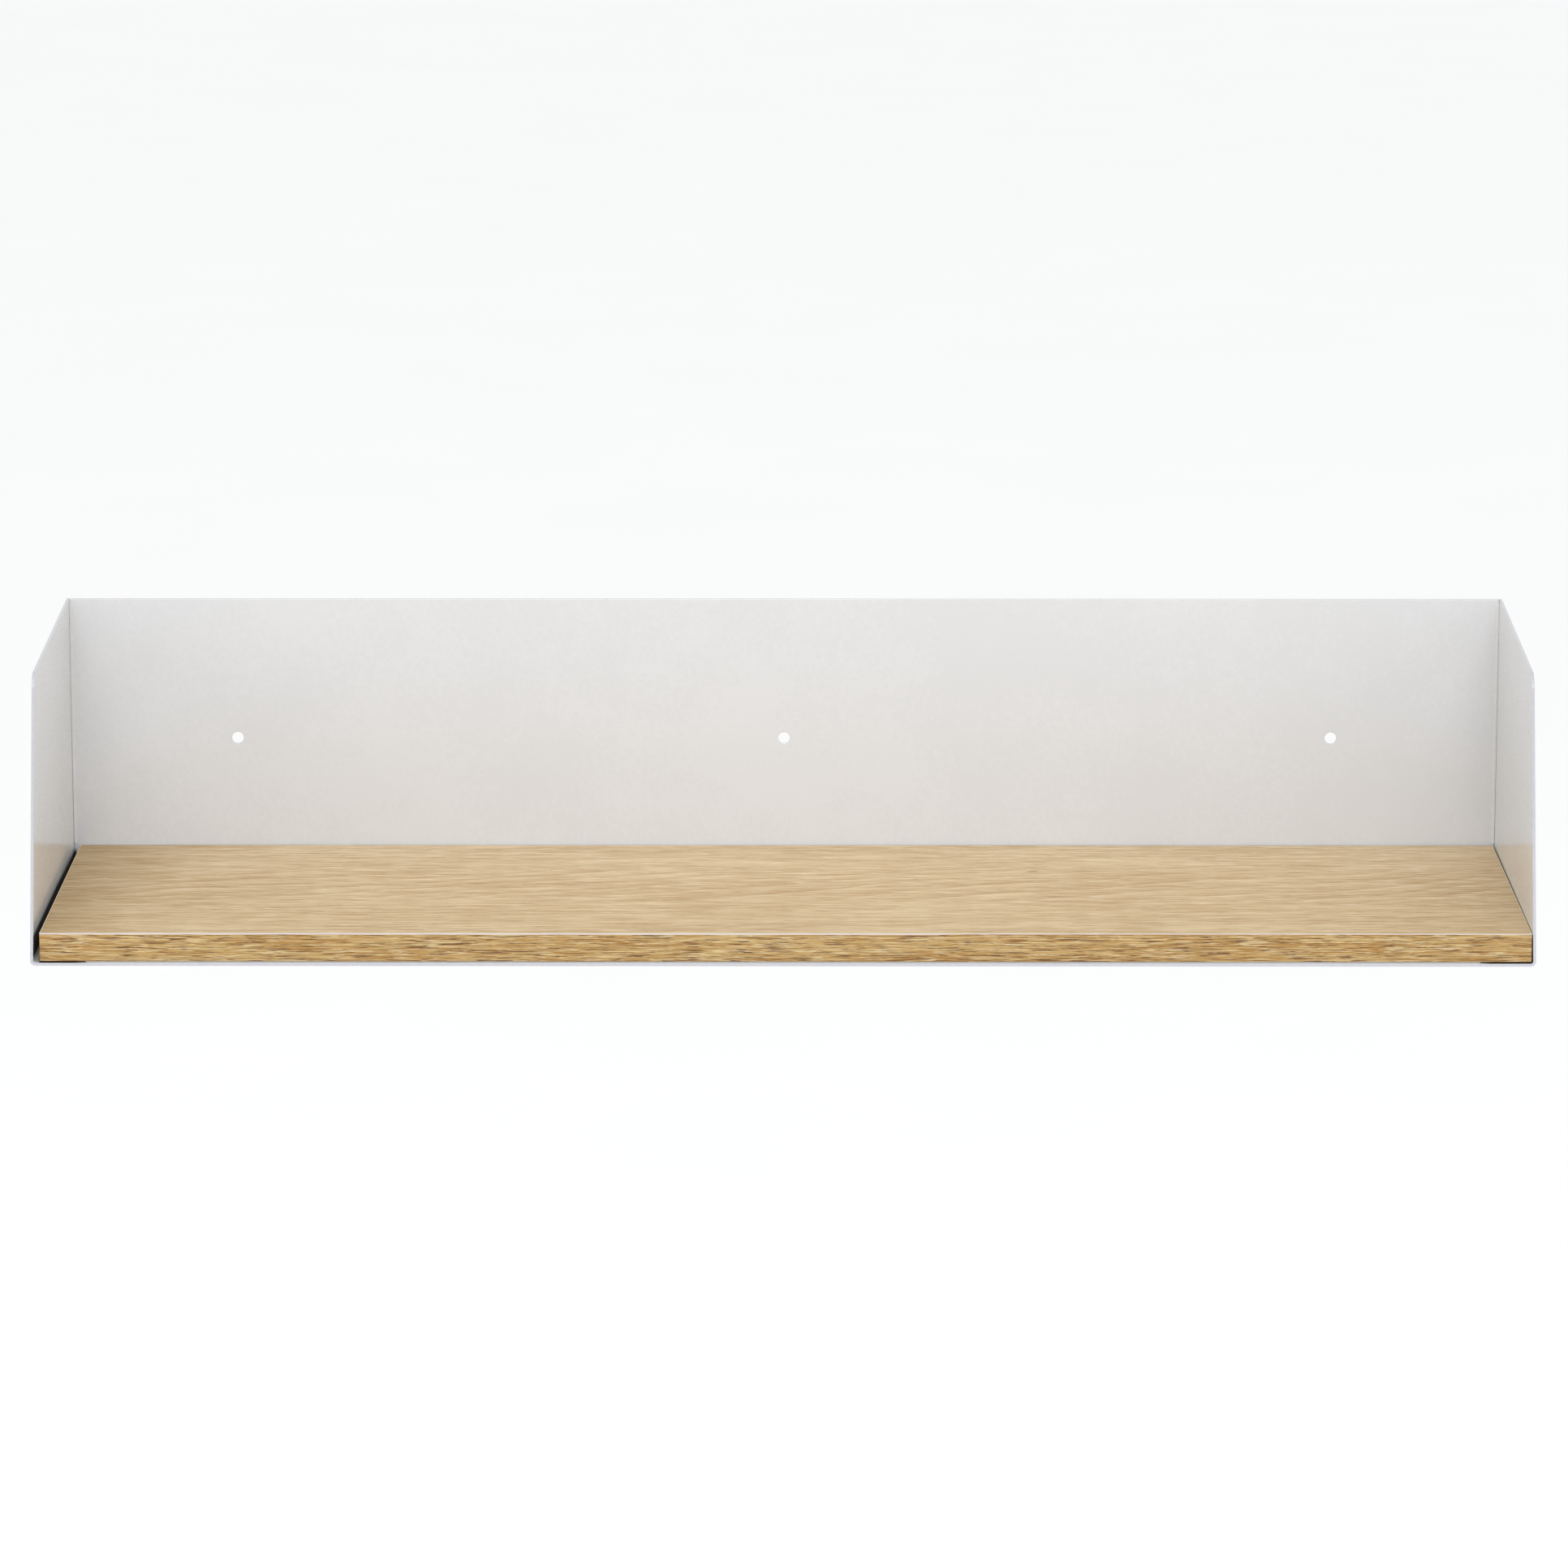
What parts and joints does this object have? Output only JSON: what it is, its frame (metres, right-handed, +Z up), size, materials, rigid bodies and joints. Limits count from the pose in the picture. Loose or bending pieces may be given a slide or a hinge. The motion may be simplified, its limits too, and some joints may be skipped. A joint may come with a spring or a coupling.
{
  "type": "wall shelf",
  "caption": "Wall shelf: an open-fronted folded sheet-steel tray with end cheeks and a flat back for wall screws, holding an oak-faced board.",
  "frame": {"origin": "middle of the shelf's footprint, level with the underside of the floor", "axes": "+X to the right along the shelf, +Y from the open front to the wall, +Z up"},
  "size_m": [0.8, 0.22, 0.158],
  "materials": {
    "powder_coat": "fine satin powder coat, off-white",
    "weld": "powder coat over a slightly lumpy weld",
    "oak_face": "matt light oak decor, fine grain along the length",
    "oak_edge": "matt light oak edging, coarser grain",
    "board_core": "bare particle board",
    "foam_tape": "white foam tape"
  },
  "bodies": {
    "root": {"folded_tray": "powder_coat", "back_panel": "powder_coat", "corner_weld_left": "weld", "corner_weld_right": "weld", "floor_weld": "weld", "board_core": "board_core", "top_foil": "oak_face", "underside_foil": "oak_face", "front_edge_band": "oak_edge", "rear_edge_band": "oak_edge", "left_edge_band": "oak_edge", "right_edge_band": "oak_edge", "adhesive_strip_front": "foam_tape", "adhesive_strip_middle": "foam_tape", "adhesive_strip_rear": "foam_tape"}
  },
  "joints": []
}
